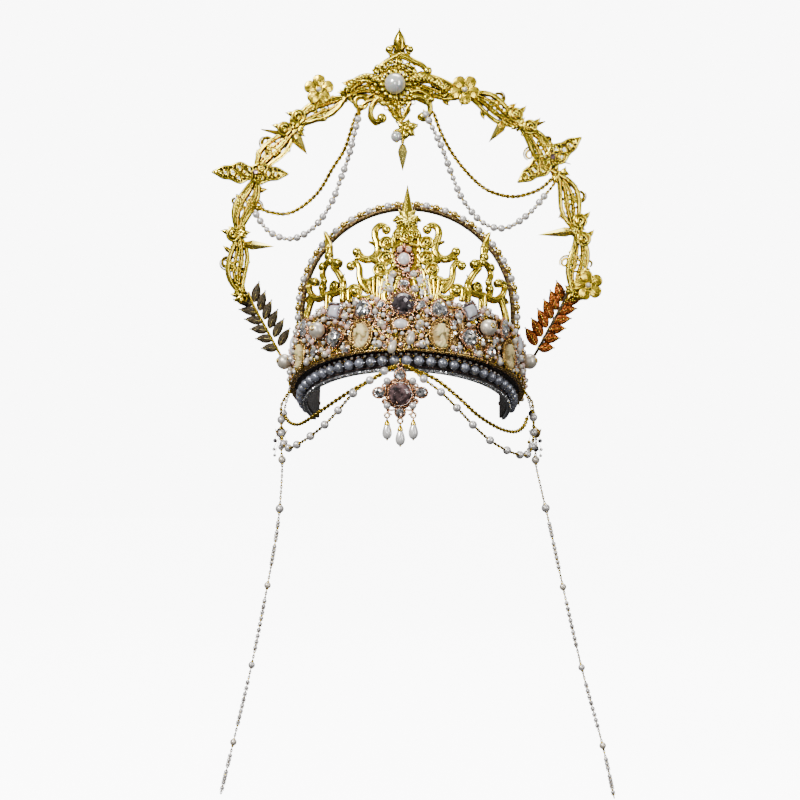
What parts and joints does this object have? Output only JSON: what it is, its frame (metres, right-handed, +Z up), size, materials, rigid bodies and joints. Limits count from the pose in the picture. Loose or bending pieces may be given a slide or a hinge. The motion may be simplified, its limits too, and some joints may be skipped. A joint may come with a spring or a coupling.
{
  "type": "halo crown",
  "caption": "Jewelled halo crown: a wide filigree band with scroll panels, a beaded arch, an openwork vine halo, pearl swags, brow strings, long side strands and a brow pendant.",
  "frame": {"origin": "centre of the head band's oval at the height of its rim pearls, where the band sits round the head", "axes": "+Z up when worn, +X to the right as seen from the front, +Y towards the back of the head; the front faces -Y, and the band is tipped back by 18 degrees about X so that its front stands higher"},
  "size_m": [0.3259, 0.1538, 0.6194],
  "materials": {
    "dark_velvet": "matt dark brown velvet ribbon",
    "rhinestone_trim": "small clear stones in silver cups",
    "copper_filigree": "polished rose copper filigree",
    "grey_pearl": "lustrous grey pearl",
    "gold_cast": "polished antique gold casting",
    "gold_vine": "bright gold filigree",
    "gold_bead": "bright gold",
    "gold_chain": "fine gold chain and wire",
    "bronze_strip": "dark gold brown strip",
    "dark_bronze": "dark bronze with gold edges",
    "copper_glitter": "glittering orange copper",
    "copper_cast": "rose copper casting",
    "white_pearl": "white pearl lustre",
    "cream_pearl": "cream pearl lustre",
    "cameo_shell": "honey shell with an ivory relief in a gold mount",
    "smoky_glass": "smoky cut glass",
    "rose_smoky_glass": "rose smoky cut glass",
    "clear_crystal": "clear cut crystal",
    "moonstone": "milky stone"
  },
  "bodies": {
    "root": {"base_band": "dark_velvet", "edge_trim": "rhinestone_trim", "filigree_wall": "copper_filigree", "rim_pearls": "grey_pearl", "panel_centre": "gold_cast", "panel_left": "gold_cast", "panel_right": "gold_cast", "arch_strip": "bronze_strip", "arch_beads_gold": "gold_bead", "arch_beads_white": "white_pearl", "halo_vine": "gold_vine", "halo_medallion": "gold_cast", "medallion_pearl": "cream_pearl", "drop_pearl": "cream_pearl", "drop_spike": "gold_bead", "wing_left": "gold_vine", "wing_right": "gold_vine", "flower_left": "gold_bead", "flower_right": "gold_bead", "flower_end": "gold_bead", "halo_spikes": "gold_bead", "laurel_left": "dark_bronze", "laurel_right": "copper_glitter", "cameo_front_left": "cameo_shell", "cameo_front_right": "cameo_shell", "cameo_side_left": "cameo_shell", "cameo_side_right": "cameo_shell", "smoky_gem": "smoky_glass", "oval_crystals": "clear_crystal", "square_crystals": "clear_crystal", "moonstones": "moonstone", "drop_crystals": "clear_crystal", "opal_top": "moonstone", "shell_opal": "moonstone", "large_pearls": "cream_pearl", "long_cabochons": "moonstone", "small_crystals": "clear_crystal", "cluster_pearls": "white_pearl", "pearl_drops": "cream_pearl", "swag_chain_left": "gold_chain", "swag_chain_right": "gold_chain", "swag_thread_left": "gold_chain", "swag_thread_right": "gold_chain", "swag_pearls_left": "white_pearl", "swag_pearls_right": "white_pearl", "fringe_chain_left": "gold_chain", "fringe_chain_right": "gold_chain", "fringe_thread_left": "gold_chain", "fringe_thread_right": "gold_chain", "fringe_pearls_left": "white_pearl", "fringe_pearls_right": "white_pearl", "strand_left": "white_pearl", "strand_right": "white_pearl", "pendant_hook": "gold_bead"},
    "pendant": {"pendant_frame": "copper_cast", "pendant_gem": "rose_smoky_glass", "pendant_crystals": "clear_crystal", "pendant_pearls": "cream_pearl"}
  },
  "joints": [
    {"name": "pendant_swing", "type": "hinge", "parent": "root", "child": "pendant", "pos_m": [0, -0.09908, 0.02904], "axis": [-1, 0, 0], "range_deg": [0, 60]}
  ]
}
